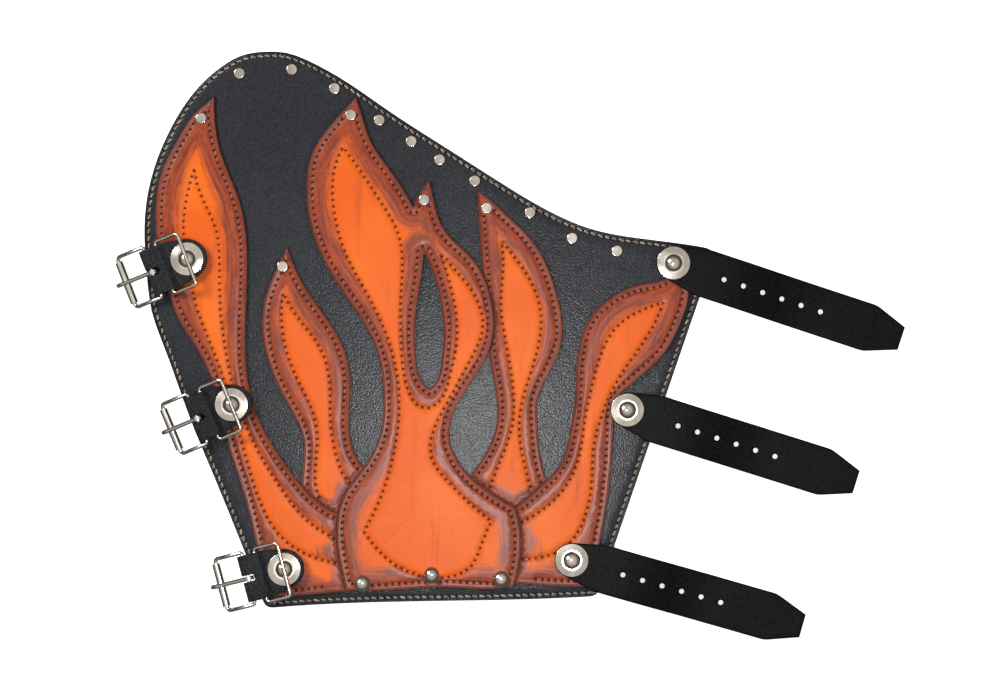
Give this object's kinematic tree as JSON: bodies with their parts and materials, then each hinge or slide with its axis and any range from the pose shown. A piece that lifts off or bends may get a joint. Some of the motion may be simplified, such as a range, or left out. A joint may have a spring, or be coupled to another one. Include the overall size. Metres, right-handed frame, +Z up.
{
  "type": "vambrace",
  "caption": "Leather forearm guard laid flat, with layered flame appliques, riveted straps and roller buckles on folded tabs, each with a wire keeper.",
  "frame": {"origin": "on the lining's underside, near the middle of the panel", "axes": "+Y to the elbow tip, +X to the straps, +Z up out of the outer face as it lies flat"},
  "size_m": [0.3946, 0.294, 0.0162],
  "materials": {
    "panel_leather": "fine-grained black leather with a soft gloss",
    "lining_suede": "dark flesh-side leather",
    "flame_leather": "smooth veg-tanned leather dyed orange and faded to dark red-brown at its edges",
    "strap_leather": "matte black strap leather",
    "border_thread": "waxed tan thread",
    "flame_thread": "waxed red-brown thread",
    "nickel": "bright nickel plate"
  },
  "bodies": {
    "panel": {"outer_panel": "panel_leather", "lining": "lining_suede", "left_flame": "flame_leather", "small_left_flame": "flame_leather", "centre_flame": "flame_leather", "small_right_flame": "flame_leather", "right_flame": "flame_leather", "left_flame_edge_thread": "flame_thread", "left_flame_second_thread": "flame_thread", "small_left_flame_edge_thread": "flame_thread", "small_left_flame_second_thread": "flame_thread", "centre_flame_edge_thread": "flame_thread", "centre_flame_second_thread": "flame_thread", "small_right_flame_edge_thread": "flame_thread", "small_right_flame_second_thread": "flame_thread", "right_flame_edge_thread": "flame_thread", "right_flame_second_thread": "flame_thread", "border_thread": "border_thread", "edge_rivet_posts": "nickel", "tip_rivet_posts": "nickel", "wrist_rivet_posts": "nickel", "chape_rivet_posts": "nickel", "strap_rivet_posts": "nickel", "edge_rivet_caps": "nickel", "tip_rivet_caps": "nickel", "wrist_rivet_domes": "nickel", "chape_rivet_washers": "nickel", "chape_rivet_domes": "nickel", "strap_rivet_washers": "nickel", "strap_rivet_domes": "nickel"},
    "elbow_strap": {"elbow_strap": "strap_leather"},
    "elbow_chape": {"elbow_chape": "strap_leather"},
    "elbow_buckle": {"elbow_buckle": "nickel"},
    "elbow_roller": {"elbow_roller": "nickel"},
    "elbow_prong": {"elbow_prong": "nickel"},
    "elbow_keeper": {"elbow_keeper": "nickel"},
    "middle_strap": {"middle_strap": "strap_leather"},
    "middle_chape": {"middle_chape": "strap_leather"},
    "middle_buckle": {"middle_buckle": "nickel"},
    "middle_roller": {"middle_roller": "nickel"},
    "middle_prong": {"middle_prong": "nickel"},
    "middle_keeper": {"middle_keeper": "nickel"},
    "wrist_strap": {"wrist_strap": "strap_leather"},
    "wrist_chape": {"wrist_chape": "strap_leather"},
    "wrist_buckle": {"wrist_buckle": "nickel"},
    "wrist_roller": {"wrist_roller": "nickel"},
    "wrist_prong": {"wrist_prong": "nickel"},
    "wrist_keeper": {"wrist_keeper": "nickel"}
  },
  "joints": [
    {"name": "elbow_strap_swivel", "type": "hinge", "parent": "panel", "child": "elbow_strap", "pos_m": [0.12155, 0.03341, 0.0068], "axis": [0, 0, 1], "range_deg": [-15, 15]},
    {"name": "elbow_chape_swivel", "type": "hinge", "parent": "panel", "child": "elbow_chape", "pos_m": [-0.121, 0.03541, 0.0068], "axis": [0, 0, 1], "range_deg": [-8, 8]},
    {"name": "elbow_buckle_hinge", "type": "hinge", "parent": "elbow_chape", "child": "elbow_buckle", "pos_m": [-0.13817, 0.02878, 0.0098], "axis": [0.36, -0.933, 0], "range_deg": [-130, 0]},
    {"name": "elbow_prong_hinge", "type": "hinge", "parent": "elbow_buckle", "child": "elbow_prong", "pos_m": [-0.13817, 0.02878, 0.0098], "axis": [-0.36, 0.933, 0], "range_deg": [0, 125]},
    {"name": "elbow_roller_spin", "type": "hinge", "parent": "elbow_buckle", "child": "elbow_roller", "pos_m": [-0.15157, 0.02361, 0.0019], "axis": [0.36, -0.933, 0], "continuous": true},
    {"name": "elbow_keeper_hinge", "type": "hinge", "parent": "elbow_chape", "child": "elbow_keeper", "pos_m": [-0.13238, 0.03101, 0.0098], "axis": [0.36, -0.933, 0], "range_deg": [0, 130]},
    {"name": "middle_strap_swivel", "type": "hinge", "parent": "panel", "child": "middle_strap", "pos_m": [0.09851, -0.03989, 0.0068], "axis": [0, 0, 1], "range_deg": [-15, 15]},
    {"name": "middle_chape_swivel", "type": "hinge", "parent": "panel", "child": "middle_chape", "pos_m": [-0.09885, -0.03717, 0.0068], "axis": [0, 0, 1], "range_deg": [-12, 12]},
    {"name": "middle_buckle_hinge", "type": "hinge", "parent": "middle_chape", "child": "middle_buckle", "pos_m": [-0.11586, -0.04418, 0.0098], "axis": [0.3811, -0.9245, 0], "range_deg": [-130, 0]},
    {"name": "middle_prong_hinge", "type": "hinge", "parent": "middle_buckle", "child": "middle_prong", "pos_m": [-0.11586, -0.04418, 0.0098], "axis": [-0.3811, 0.9245, 0], "range_deg": [0, 125]},
    {"name": "middle_roller_spin", "type": "hinge", "parent": "middle_buckle", "child": "middle_roller", "pos_m": [-0.12915, -0.04966, 0.0019], "axis": [0.3811, -0.9245, 0], "continuous": true},
    {"name": "middle_keeper_hinge", "type": "hinge", "parent": "middle_chape", "child": "middle_keeper", "pos_m": [-0.11013, -0.04182, 0.0098], "axis": [0.3811, -0.9245, 0], "range_deg": [0, 130]},
    {"name": "wrist_strap_swivel", "type": "hinge", "parent": "panel", "child": "wrist_strap", "pos_m": [0.0708, -0.11481, 0.0068], "axis": [0, 0, 1], "range_deg": [-15, 15]},
    {"name": "wrist_chape_swivel", "type": "hinge", "parent": "panel", "child": "wrist_chape", "pos_m": [-0.07257, -0.11917, 0.0068], "axis": [0, 0, 1], "range_deg": [-12, 12]},
    {"name": "wrist_buckle_hinge", "type": "hinge", "parent": "wrist_chape", "child": "wrist_buckle", "pos_m": [-0.09037, -0.12384, 0.0098], "axis": [0.2538, -0.9673, 0], "range_deg": [-130, 0]},
    {"name": "wrist_prong_hinge", "type": "hinge", "parent": "wrist_buckle", "child": "wrist_prong", "pos_m": [-0.09037, -0.12384, 0.0098], "axis": [-0.2538, 0.9673, 0], "range_deg": [0, 125]},
    {"name": "wrist_roller_spin", "type": "hinge", "parent": "wrist_buckle", "child": "wrist_roller", "pos_m": [-0.10427, -0.12749, 0.0019], "axis": [0.2538, -0.9673, 0], "continuous": true},
    {"name": "wrist_keeper_hinge", "type": "hinge", "parent": "wrist_chape", "child": "wrist_keeper", "pos_m": [-0.08437, -0.12227, 0.0098], "axis": [0.2538, -0.9673, 0], "range_deg": [0, 130]}
  ]
}
